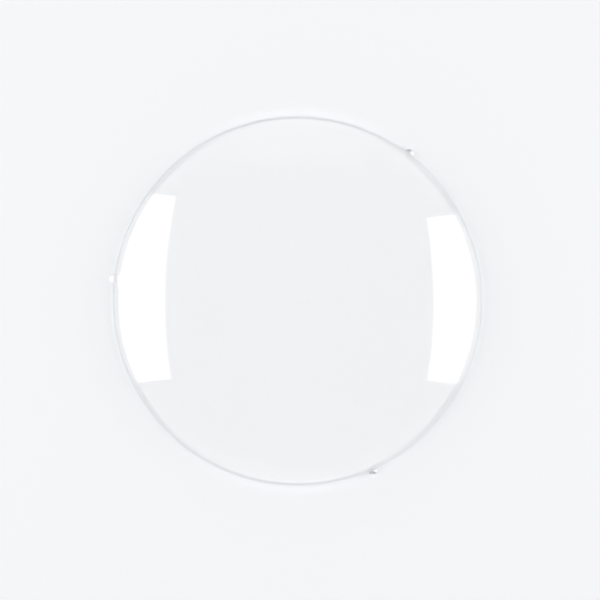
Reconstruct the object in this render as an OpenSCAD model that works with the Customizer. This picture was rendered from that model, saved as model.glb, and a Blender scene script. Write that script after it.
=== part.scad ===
// Shallow domed laboratory dish (watch glass) with three small glass nubs fused to its rim.
// It lies dome up on the flat undersides of the nubs, which hold the rim just clear of the bench.
// Millimetres, +Z up. The origin is the dish's axis, on the bench plane under the nubs.

/* [Dish] */
// Outer diameter of the rim, without the nubs
rim_d = 100; // [80:1:120]
// Radius of curvature of the outer (upper) face of the dome
dome_r = 125; // [110:1:150]
// Thickness of the glass
glass_t = 2.0; // [1.8:0.1:2.2]
// Gap between the underside of the rim and the bench
rim_gap = 0.2; // [0.1:0.05:0.3]

/* [Nubs] */
// Radius of a nub, seen from above
nub_r = 1.4; // [1.2:0.05:1.5]
// Height of a nub over the bench
nub_h = 1.9; // [1.8:0.05:2.0]
// Radius of the rounding round a nub's top and underside
nub_round = 0.8; // [0.5:0.05:0.85]
// Direction of the left nub, from +X
nub_left_deg = 173.2; // [160:0.1:190]
// Direction of the upper right nub, from +X
nub_upper_deg = 52.8; // [40:0.1:70]
// Direction of the lower right nub, from +X
nub_lower_deg = -66; // [-80:0.1:-50]

/* [Hidden] */
edge_r = glass_t / 2;
// height of the middle of the round rim
edge_z = rim_gap + edge_r;
// distance of the middle of the round rim from the axis
edge_x = rim_d / 2 - edge_r;
// radius of the middle of the glass, and the half angle of the cap
mid_r = dome_r - edge_r;
cap_a = asin(edge_x / mid_r);
// height of the centre of curvature
dome_z = edge_z - mid_r * cos(cap_a);
// the wedge that bounds the cap in section
wedge_l = dome_r * 1.2;
// a nub's centre stands on the rim's outer circle
nub_c = rim_d / 2 + 0.03;
glass_tint = [0.80, 0.90, 0.88, 0.35];

// The glass in section, right of the axis: two concentric arcs and the round rim.
module dish_section() {
    intersection() {
        translate([0, dome_z])
        difference() {
            circle(r = dome_r, $fn = 1440);
            circle(r = dome_r - glass_t, $fn = 1440);
        }
        translate([0, dome_z])
        polygon([[0, 0], [wedge_l * sin(cap_a), wedge_l * cos(cap_a)], [0, wedge_l * cos(cap_a)]]);
    }
    translate([edge_x, edge_z]) circle(r = edge_r, $fn = 96);
}

module dish_solid() {
    rotate_extrude($fn = 360) dish_section();
}

// A nub in section: flat above and below, round at the side.
module nub_section() {
    square([nub_r - nub_round, nub_h]);
    translate([0, nub_round]) square([nub_r, nub_h - 2 * nub_round]);
    translate([nub_r - nub_round, nub_round]) circle(r = nub_round, $fn = 96);
    translate([nub_r - nub_round, nub_h - nub_round]) circle(r = nub_round, $fn = 96);
}

// A round pad on the rim, less what lies inside the rim, so that the two faces meet where they are fused.
module nub(deg) {
    difference() {
        rotate([0, 0, deg]) translate([nub_c, 0, 0]) rotate_extrude($fn = 96)
            intersection() {
                nub_section();
                square([nub_r * 2, nub_h]);
            }
        dish_solid();
    }
}

module dish() {
    color(glass_tint) dish_solid();
}

module nub_left() {
    color(glass_tint) nub(nub_left_deg);
}

module nub_upper_right() {
    color(glass_tint) nub(nub_upper_deg);
}

module nub_lower_right() {
    color(glass_tint) nub(nub_lower_deg);
}

dish();
nub_left();
nub_upper_right();
nub_lower_right();
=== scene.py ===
import math

import bpy
import numpy as np
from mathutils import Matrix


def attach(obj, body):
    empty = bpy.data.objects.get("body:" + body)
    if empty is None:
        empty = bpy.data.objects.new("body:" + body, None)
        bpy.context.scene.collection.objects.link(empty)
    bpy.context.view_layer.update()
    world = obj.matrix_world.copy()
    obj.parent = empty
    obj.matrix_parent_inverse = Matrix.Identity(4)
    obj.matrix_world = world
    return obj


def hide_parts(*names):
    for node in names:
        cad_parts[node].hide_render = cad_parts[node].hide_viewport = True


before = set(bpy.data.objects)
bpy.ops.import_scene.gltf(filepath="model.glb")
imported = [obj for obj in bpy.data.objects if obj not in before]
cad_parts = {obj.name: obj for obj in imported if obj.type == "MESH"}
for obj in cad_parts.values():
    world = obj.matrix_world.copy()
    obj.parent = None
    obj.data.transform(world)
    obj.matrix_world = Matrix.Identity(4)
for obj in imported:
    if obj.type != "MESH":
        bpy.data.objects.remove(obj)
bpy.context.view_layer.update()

# ---------------------------------------------------------------- sizes, in metres, as in the CAD
RIM_R = 0.050
DOME_R = 0.125
T = 0.002
GAP = 0.0002
E = T / 2  # radius of the rim's round
EZ = GAP + E
EX = RIM_R - E
MID_R = DOME_R - E
CAP_A = math.asin(EX / MID_R)
DZ = EZ - MID_R * math.cos(CAP_A)  # centre of the dome's arcs

NUB_R = 0.00137
NUB_C = RIM_R + 0.00003
LUG_K = 0.00025  # how soft the edge of a lug's top is
LOW_K = 0.0004  # and that of the flat that it stands on
FACE_TILT = math.radians(22.5)  # slope of the pressed side
FACE_AT = 0.00005  # where it starts, out from the lug's middle
FACE_Z = 0.00168
# name: angle, relative width, side of the pressed face, blend into the rim
NUBS = {
    "nub_left": (173.2, 1.00, -1, 0.00030),
    "nub_upper_right": (52.8, 1.05, 1, 0.00040),
    "nub_lower_right": (-66.0, 1.00, 1, 0.00040),
}
WIN = math.radians(3.4)  # half width of the patch of rim that a lug is pulled from

# ---------------------------------------------------------------- the dish's section
# A point of the section is given by its arc length b along the glass, counted from the outermost
# point of the rim, positive up over the dome and negative round under the rim and up inside.
B_TOP = E * (math.pi / 2 - CAP_A)  # the rim's round meets the outer arc
B_APEX = B_TOP + DOME_R * CAP_A
B_LOW = -E * (math.pi / 2 + CAP_A)  # the rim's round meets the inner arc
R_IN = DOME_R - T
B_IN = B_LOW - R_IN * CAP_A
WIN_HI = B_TOP + 0.0030
WIN_LO = B_LOW - 0.0010


def section(b):
    """(r, z, nr, nz) of the section at arc length b."""
    if b > B_TOP:
        a = CAP_A - (b - B_TOP) / DOME_R
        return DOME_R * math.sin(a), DZ + DOME_R * math.cos(a), math.sin(a), math.cos(a)
    if b < B_LOW:
        a = CAP_A - (B_LOW - b) / R_IN
        return R_IN * math.sin(a), DZ + R_IN * math.cos(a), -math.sin(a), -math.cos(a)
    a = b / E
    return EX + E * math.cos(a), EZ + E * math.sin(a), math.cos(a), math.sin(a)


def spaced(a, b, step):
    n = max(1, int(math.ceil(abs(b - a) / step)))
    return [a + (b - a) * i / n for i in range(n)]


ROWS = (
    spaced(B_APEX - 0.0004, WIN_HI, 0.0012)
    + spaced(WIN_HI, B_TOP, 0.00010)
    + spaced(B_TOP, B_LOW, 0.00007)
    + spaced(B_LOW, WIN_LO, 0.00010)
    + spaced(WIN_LO, B_IN + 0.0004, 0.0012)
    + [B_IN + 0.0004]
)
ROW_HI = ROWS.index(WIN_HI)
ROW_LO = ROWS.index(WIN_LO)


def ring_angles():
    """Angles of the dish's meridians: close together across each lug, wider elsewhere."""
    cuts = sorted(math.radians(v[0]) % (2 * math.pi) for v in NUBS.values())
    out, spans = [], []
    for i, c in enumerate(cuts):
        nxt = cuts[(i + 1) % 3] + (2 * math.pi if i == 2 else 0)
        n = 76
        out += [c - WIN + 2 * WIN * k / n for k in range(n)]
        m = int(math.ceil((nxt - c - 2 * WIN) / math.radians(1.0)))
        out += [c + WIN + (nxt - c - 2 * WIN) * k / m for k in range(m)]
    return out


ANG = ring_angles()
N_WIN = 76


def window(deg):
    """First and last meridian of a lug's patch."""
    a = math.radians(deg) % (2 * math.pi) - WIN
    i = min(range(len(ANG)), key=lambda k: abs(ANG[k] - a))
    return i, i + N_WIN


def new_object(name, verts, faces, slots, marks, sharp=()):
    me = bpy.data.meshes.new(name)
    me.from_pydata(verts, [], faces)
    for s in slots:
        me.materials.append(s)
    me.polygons.foreach_set("material_index", marks)
    me.polygons.foreach_set("use_smooth", [True] * len(me.polygons))
    if sharp:
        want = set(sharp)
        me.attributes.new("sharp_edge", "BOOLEAN", "EDGE")
        flags = [tuple(sorted(e.vertices)) in want for e in me.edges]
        me.attributes["sharp_edge"].data.foreach_set("value", flags)
    me.update()
    ob = bpy.data.objects.new(name, me)
    bpy.context.scene.collection.objects.link(ob)
    return ob


# ---------------------------------------------------------------- a lug's shape
def smin(a, b, k):
    """Least of two distances, with the corner between them filled to a blend of size k."""
    if k <= 1e-9:
        return np.minimum(a, b)
    h = np.clip(0.5 + 0.5 * (b - a) / k, 0, 1)
    return b * (1 - h) + a * h - k * h * (1 - h)


def dish_sdf(r, z):
    d = np.hypot(r, z - DZ)
    ang = np.arctan2(r, z - DZ)
    cap = np.abs(d - MID_R) - E
    rim = np.hypot(r - EX, z - EZ) - E
    return np.where(ang < CAP_A, cap, rim)


def smax(a, b, k):
    return -smin(-a, -b, k)


def lug_sdf(x, r, z, phi, wide, face):
    """Distance to one lug: x along the rim, r out from the axis, z up. A lug is a blob of glass that runs on
    from the dome's slope and that a tool has pressed flat on the side towards face (-1 left, 1 right)."""
    top = np.hypot(r, z - DZ) - (DOME_R - 0.00003)
    out = np.hypot((r - NUB_C), x / wide) - NUB_R
    s = smax(top, out, LUG_K)
    side = face * ((r - NUB_C) * math.cos(phi) - x * math.sin(phi)) - FACE_AT
    press = side * math.sin(FACE_TILT) + (z - FACE_Z) * math.cos(FACE_TILT)
    s = smax(s, press, 0.00012)
    return smax(s, -z, LOW_K)


def lug_heights(deg, wide, face, blend):
    """How far the glass stands out of the plain rim, along the section's normal, at each point of the patch."""
    rows = ROWS[ROW_HI : ROW_LO + 1]
    ths = np.linspace(-WIN, WIN, N_WIN + 1)
    sec = np.array([section(b) for b in rows])
    r0, z0, nr, nz = (sec[:, i][:, None] for i in range(4))
    u = np.abs(ths)[None, :] / WIN
    v = np.array(
        [max((b - B_TOP) / 0.0030, (B_LOW - b) / 0.0010, 0.0) for b in rows]
    )[:, None]
    fade = np.clip((1 - np.maximum(u, v)) / 0.25, 0, 1)
    fade = fade * fade * (3 - 2 * fade)
    best = np.zeros((len(rows), len(ths)))
    lo = np.zeros_like(best)
    hi = np.full_like(best, 0.0022)
    # coarse march from outside in, then bisection
    steps = 45
    found = np.zeros(best.shape, bool)

    def f(t):
        r = r0 + nr * t
        z = z0 + nz * t
        x = np.tan(ths)[None, :] * r
        rr = r
        d = smin(dish_sdf(rr, z), lug_sdf(x, rr, z, math.radians(deg), wide, face), blend)
        plain = dish_sdf(rr, z)
        return plain + (d - plain) * fade

    for i in range(steps, -1, -1):
        t = np.full_like(best, 0.0022 * i / steps)
        inside = (f(t) < 0) & ~found
        lo = np.where(inside, t, lo)
        hi = np.where(inside, np.minimum(t + 0.0022 / steps, 0.0022), hi)
        found |= inside
    lo = np.where(found, lo, 0)
    hi = np.where(found, hi, 0.00002)
    for _ in range(24):
        mid = (lo + hi) / 2
        inside = f(mid) < 0
        lo = np.where(inside, mid, lo)
        hi = np.where(inside, hi, mid)
    h = (lo + hi) / 2
    down = np.minimum(nz, -1e-6)
    h = np.where(nz < 0, np.minimum(h, (z0 - 3e-6) / -down), h)
    h[:, 0] = h[:, -1] = 0
    h[0] = h[-1] = 0
    h = np.where(h < 2e-7, 0, h)
    return h, sec, ths


def build_dish():
    n = len(ANG)
    m = len(ROWS)
    verts = [(0, 0, DZ + DOME_R)]
    for b in ROWS:
        r, z = section(b)[:2]
        verts += [(r * math.cos(a), r * math.sin(a), z) for a in ANG]
    verts.append((0, 0, DZ + R_IN))
    welds = [window(v[0]) for v in NUBS.values()]

    def v(i, k):
        return 1 + i * n + k % n

    faces, marks = [], []
    inside = [False] * n
    for a, b in welds:
        for k in range(a, b):
            inside[k % n] = True
    for k in range(n):
        faces.append((0, v(0, k), v(0, k + 1)))
        marks.append(0)
        for i in range(m - 1):
            faces.append((v(i, k), v(i + 1, k), v(i + 1, k + 1), v(i, k + 1)))
            marks.append(1 if inside[k] and ROW_HI <= i < ROW_LO else 0)
        faces.append((v(m - 1, k), len(verts) - 1, v(m - 1, k + 1)))
        marks.append(0)
    return new_object("dish_glass", verts, faces, [glass, weld], marks)


def build_nub(name, deg, wide, face, blend):
    h, sec, ths = lug_heights(deg, wide, face, blend)
    i0, i1 = window(deg)
    n = len(ANG)
    cols = [ANG[k % n] for k in range(i0, i1 + 1)]
    nr_, nc = h.shape
    verts = []
    fade = np.ones_like(h)
    for s, (sign) in ((0, 1), (1, -1)):
        for i in range(nr_):
            r0, z0, nr, nz = sec[i]
            for j in range(nc):
                edge = i in (0, nr_ - 1) or j in (0, nc - 1)
                # the outer skin stands a hair proud of the dish and the weld face a hair inside it
                t = h[i, j] + 1.5e-6 if s == 0 else -3e-6
                if edge:
                    t = 0.0
                r = r0 + nr * t
                z = z0 + nz * t
                verts.append((r * math.cos(cols[j]), r * math.sin(cols[j]), z))
    off = nr_ * nc
    use = {}

    def border(i, j):
        return i in (0, nr_ - 1) or j in (0, nc - 1)

    def w(i, j):
        # the two skins share their border
        return i * nc + j if border(i, j) else off + i * nc + j

    faces, marks, sharp = [], [], []
    for i in range(nr_ - 1):
        for j in range(nc - 1):
            a, b, c, d = i * nc + j, (i + 1) * nc + j, (i + 1) * nc + j + 1, i * nc + j + 1
            faces.append((a, b, c, d))
            marks.append(0)
            faces.append((w(i, j), w(i, j + 1), w(i + 1, j + 1), w(i + 1, j)))
            marks.append(1)
    for i in range(nr_ - 1):
        for j in (0, nc - 1):
            sharp.append(tuple(sorted((i * nc + j, (i + 1) * nc + j))))
    for j in range(nc - 1):
        for i in (0, nr_ - 1):
            sharp.append(tuple(sorted((i * nc + j, i * nc + j + 1))))
    used = sorted({x for f in faces for x in f})
    ren = {o: k for k, o in enumerate(used)}
    verts = [verts[o] for o in used]
    faces = [tuple(ren[x] for x in f) for f in faces]
    sharp = [tuple(sorted((ren[a], ren[b]))) for a, b in sharp]
    return new_object(name, verts, faces, [lug_glass, weld], marks, sharp)


# ---------------------------------------------------------------- materials
def glass_material(name, rim_cast_and_shade):
    """Clear glass: a faint cast, the slow ripple of a fire-polished sheet and a trace of wiping haze. With
    rim_cast_and_shade set, the rim's round is tinted deep blue-green: partly the edge's own cast, partly painted
    shade.
    """
    m = bpy.data.materials.new(name)
    m.use_nodes = True
    nt = m.node_tree
    p = nt.nodes["Principled BSDF"]
    # from 49.4 mm to 49.9 mm out from the axis, the rim's round turns blue-green and darker: partly the glass's
    # own cast along its edge, partly painted shade that draws the rim's dark outline
    tc = nt.nodes.new("ShaderNodeTexCoord")
    flat = nt.nodes.new("ShaderNodeVectorMath")
    flat.operation = "MULTIPLY"
    flat.inputs[1].default_value = (1, 1, 0)
    nt.links.new(tc.outputs["Object"], flat.inputs[0])
    far = nt.nodes.new("ShaderNodeVectorMath")
    far.operation = "LENGTH"
    nt.links.new(flat.outputs[0], far.inputs[0])
    edge = nt.nodes.new("ShaderNodeMapRange")
    edge.interpolation_type = "SMOOTHSTEP"
    nt.links.new(far.outputs["Value"], edge.inputs["Value"])
    edge.inputs["From Min"].default_value = 0.0494
    edge.inputs["From Max"].default_value = 0.0499
    mix = nt.nodes.new("ShaderNodeMix")
    mix.data_type = "RGBA"
    nt.links.new(edge.outputs["Result"], mix.inputs[0])
    mix.inputs[6].default_value = (1.0, 1.0, 0.999, 1)
    # painted shade: this colour darkens the rim's round far beyond the glass's own slight cast
    mix.inputs[7].default_value = (0.80, 0.875, 0.895, 1) if rim_cast_and_shade else (0.99, 0.995, 0.995, 1)
    nt.links.new(mix.outputs[2], p.inputs["Base Color"])
    p.inputs["IOR"].default_value = 1.52
    p.inputs["Transmission Weight"].default_value = 1.0
    # slow ripple of the slumped sheet, a few microns over centimetres
    ripple = nt.nodes.new("ShaderNodeTexNoise")
    nt.links.new(tc.outputs["Object"], ripple.inputs["Vector"])
    ripple.inputs["Scale"].default_value = 60.0
    ripple.inputs["Detail"].default_value = 1.0
    bump = nt.nodes.new("ShaderNodeBump")
    bump.inputs["Strength"].default_value = 0.35
    bump.inputs["Distance"].default_value = 0.00002
    nt.links.new(ripple.outputs["Fac"], bump.inputs["Height"])
    nt.links.new(bump.outputs["Normal"], p.inputs["Normal"])
    # faint haze where a cloth has dragged across the dome
    haze = nt.nodes.new("ShaderNodeTexNoise")
    stretch = nt.nodes.new("ShaderNodeMapping")
    stretch.inputs["Rotation"].default_value = (0, 0, 0.6)
    stretch.inputs["Scale"].default_value = (40, 220, 40)
    nt.links.new(tc.outputs["Object"], stretch.inputs["Vector"])
    nt.links.new(stretch.outputs["Vector"], haze.inputs["Vector"])
    haze.inputs["Scale"].default_value = 1.0
    haze.inputs["Detail"].default_value = 3.0
    film = nt.nodes.new("ShaderNodeMapRange")
    nt.links.new(haze.outputs["Fac"], film.inputs["Value"])
    film.inputs["From Min"].default_value = 0.55
    film.inputs["From Max"].default_value = 0.85
    film.inputs["To Min"].default_value = 0.0
    film.inputs["To Max"].default_value = 0.05
    nt.links.new(film.outputs["Result"], p.inputs["Roughness"])
    if not rim_cast_and_shade:
        # stand-in: a coat with an index far above glass's, on the end of the lug that is clear of the rim,
        # so that its faces show the lamps and the dark between them as strongly as they are seen
        end = nt.nodes.new("ShaderNodeMapRange")
        end.interpolation_type = "SMOOTHSTEP"
        nt.links.new(far.outputs["Value"], end.inputs["Value"])
        end.inputs["From Min"].default_value = 0.0499
        end.inputs["From Max"].default_value = 0.0501
        nt.links.new(end.outputs["Result"], p.inputs["Coat Weight"])
        p.inputs["Coat IOR"].default_value = 3.0
        p.inputs["Coat Roughness"].default_value = 0.0
    return m


def weld_material():
    """Where a lug and the dish are one melt there is no surface to see: light goes straight on."""
    m = bpy.data.materials.new("fused_glass")
    m.use_nodes = True
    p = m.node_tree.nodes["Principled BSDF"]
    p.inputs["Base Color"].default_value = (1, 1, 1, 1)
    p.inputs["IOR"].default_value = 1.0
    p.inputs["Transmission Weight"].default_value = 1.0
    p.inputs["Roughness"].default_value = 0.0
    return m


glass = glass_material("clear_glass", True)
lug_glass = glass_material("lug_glass", False)
weld = weld_material()
dish = build_dish()
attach(dish, "root")
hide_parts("dish")
for name, (deg, wide, face, blend) in NUBS.items():
    o = build_nub(name + "_glass", deg, wide, face, blend)
    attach(o, "root")
    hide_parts(name)

# ---------------------------------------------------------------- stage
UNIT = 0.924  # radiance of the bare table

fm = bpy.data.materials.new("table")
fm.use_nodes = True
fp = fm.node_tree.nodes["Principled BSDF"]
fp.inputs["Base Color"].default_value = (0.895, 0.900, 0.915, 1)
fp.inputs["Roughness"].default_value = 0.9
fp.inputs["Specular IOR Level"].default_value = 0.0
fp.inputs["Emission Color"].default_value = (0.991, 0.997, 1.013, 1)
fp.inputs["Emission Strength"].default_value = 0.537 * UNIT
# far from the dish the table is lit evenly, like the paper sweep that runs up behind it
fn = fm.node_tree
ftc = fn.nodes.new("ShaderNodeTexCoord")
flen = fn.nodes.new("ShaderNodeVectorMath")
flen.operation = "LENGTH"
fn.links.new(ftc.outputs["Object"], flen.inputs[0])
ffar = fn.nodes.new("ShaderNodeMapRange")
ffar.interpolation_type = "SMOOTHSTEP"
fn.links.new(flen.outputs["Value"], ffar.inputs["Value"])
ffar.inputs["From Min"].default_value = 0.16
ffar.inputs["From Max"].default_value = 0.50
even = fn.nodes.new("ShaderNodeEmission")
even.inputs["Color"].default_value = (0.991, 0.997, 1.013, 1)
even.inputs["Strength"].default_value = UNIT
fmix = fn.nodes.new("ShaderNodeMixShader")
fn.links.new(ffar.outputs["Result"], fmix.inputs[0])
fn.links.new(fp.outputs[0], fmix.inputs[1])
fn.links.new(even.outputs[0], fmix.inputs[2])
fn.links.new(fmix.outputs[0], fn.nodes["Material Output"].inputs["Surface"])
bpy.ops.mesh.primitive_plane_add(size=8, location=(0, 0, -0.00002))
floor = bpy.context.object
floor.name = "table"
floor.data.materials.append(fm)


def softbox(name, side, y0, y1, parts):
    """A flat lamp that faces the dish at 45 degrees, 1 m away. side is -1 for left and 1 for right; y0 to y1
    is its reach along Y. parts are (q0, q1, radiance) strips up its own plane."""
    c = math.sqrt(0.5)
    verts, faces, mats = [], [], []
    for i, (q0, q1, rad) in enumerate(parts):
        for y, q in ((y0, q0), (y1, q0), (y1, q1), (y0, q1)):
            verts.append((side * (c - c * q), y, (c + c * q)))
        k = 4 * i
        faces.append((k, k + 1, k + 2, k + 3) if side < 0 else (k + 3, k + 2, k + 1, k))
    me = bpy.data.meshes.new(name)
    me.from_pydata(verts, [], faces)
    for i, (q0, q1, rad) in enumerate(parts):
        m = bpy.data.materials.new("%s_%d" % (name, i))
        m.use_nodes = True
        nt = m.node_tree
        nt.nodes.remove(nt.nodes["Principled BSDF"])
        e = nt.nodes.new("ShaderNodeEmission")
        e.inputs["Color"].default_value = (1, 1, 1, 1)
        e.inputs["Strength"].default_value = rad * UNIT
        nt.links.new(e.outputs[0], nt.nodes["Material Output"].inputs["Surface"])
        me.materials.append(m)
        me.polygons[i].material_index = i
    o = bpy.data.objects.new(name, me)
    bpy.context.scene.collection.objects.link(o)
    o.visible_camera = False
    return o


softbox("softbox_left", -1, -0.374, 0.52, ((-0.80, -0.47, 2.5), (-0.47, -0.10, 1.5), (-0.10, 0.138, 2.4)))
softbox("softbox_right", 1, -0.383, 0.40, ((-0.80, -0.47, 2.5), (-0.47, -0.10, 1.7), (-0.10, 0.121, 2.4)))

# a dim pale screen beyond the dish's far edge, which the dome shows as a faint band
screen_mesh = bpy.data.meshes.new("screen")
corners = ((-23.5, 38.0), (23.5, 38.0), (23.5, 48.4), (-23.5, 48.4))
corners = [(math.radians(a), math.radians(e)) for a, e in corners]
screen_mesh.from_pydata(
    [(math.sin(a) * math.cos(e), math.cos(a) * math.cos(e), math.sin(e)) for a, e in corners], [], [(0, 1, 2, 3)]
)
sm = bpy.data.materials.new("screen")
sm.use_nodes = True
sm.node_tree.nodes.remove(sm.node_tree.nodes["Principled BSDF"])
se = sm.node_tree.nodes.new("ShaderNodeEmission")
se.inputs["Color"].default_value = (1, 1, 1, 1)
se.inputs["Strength"].default_value = 0.29
sm.node_tree.links.new(se.outputs[0], sm.node_tree.nodes["Material Output"].inputs["Surface"])
screen_mesh.materials.append(sm)
screen = bpy.data.objects.new("screen", screen_mesh)
bpy.context.scene.collection.objects.link(screen)
screen.visible_camera = False

world = bpy.data.worlds.new("studio")
bpy.context.scene.world = world
world.use_nodes = True
nt = world.node_tree
bg = nt.nodes["Background"]
tc = nt.nodes.new("ShaderNodeTexCoord")
sep = nt.nodes.new("ShaderNodeSeparateXYZ")
nt.links.new(tc.outputs["Generated"], sep.inputs[0])


def math_node(op, a, b=None):
    n = nt.nodes.new("ShaderNodeMath")
    n.operation = op
    for i, x in enumerate((a, b)):
        if x is None:
            continue
        if isinstance(x, (int, float)):
            n.inputs[i].default_value = x
        else:
            nt.links.new(x, n.inputs[i])
    return n.outputs[0]


def ramp(x, lo, hi):
    n = nt.nodes.new("ShaderNodeMapRange")
    n.interpolation_type = "SMOOTHSTEP"
    nt.links.new(x, n.inputs["Value"])
    n.inputs["From Min"].default_value = lo
    n.inputs["From Max"].default_value = hi
    return n.outputs["Result"]


def mix_value(f, a, b):
    n = nt.nodes.new("ShaderNodeMix")
    n.data_type = "FLOAT"
    for i, x in ((0, f), (2, a), (3, b)):
        if isinstance(x, (int, float)):
            n.inputs[i].default_value = x
        else:
            nt.links.new(x, n.inputs[i])
    return n.outputs[0]


z = math_node("MAXIMUM", sep.outputs["Z"], 0.0)
y2 = math_node("MULTIPLY", sep.outputs["Y"], sep.outputs["Y"])
x2 = math_node("MULTIPLY", sep.outputs["X"], sep.outputs["X"])
xy = math_node("MAXIMUM", math_node("ADD", x2, y2), 1e-4)
fy = math_node("DIVIDE", y2, xy)
wall = math_node("MULTIPLY", fy, 0.385)
up0 = mix_value(ramp(z, 0.23, 0.29), 1.0, wall)
up1 = mix_value(ramp(z, 0.665, 0.725), up0, math_node("MULTIPLY", fy, 0.03))
up2 = mix_value(ramp(z, 0.91, 0.97), up1, 0.08)
nt.links.new(math_node("MULTIPLY", up2, UNIT), bg.inputs["Strength"])
bg.inputs["Color"].default_value = (0.991, 0.997, 1.013, 1)

# ---------------------------------------------------------------- camera
cam_d = bpy.data.cameras.new("camera")
cam = bpy.data.objects.new("camera", cam_d)
bpy.context.scene.collection.objects.link(cam)
CAM_H = 0.9
PX = RIM_R / 184.7
cam.location = (2.5 * PX, 1.0 * PX, CAM_H)
cam_d.sensor_width = 36
cam_d.lens = 36 * (CAM_H - EZ) / (600 * PX)
bpy.context.scene.camera = cam
sc = bpy.context.scene
sc.view_settings.view_transform = "Standard"
sc.cycles.use_denoising = True
sc.cycles.max_bounces = 24
sc.cycles.transmission_bounces = 24
sc.cycles.glossy_bounces = 24
sc.cycles.diffuse_bounces = 6
sc.cycles.transparent_max_bounces = 24
sc.cycles.blur_glossy = 0.0
sc.cycles.filter_width = 1.0
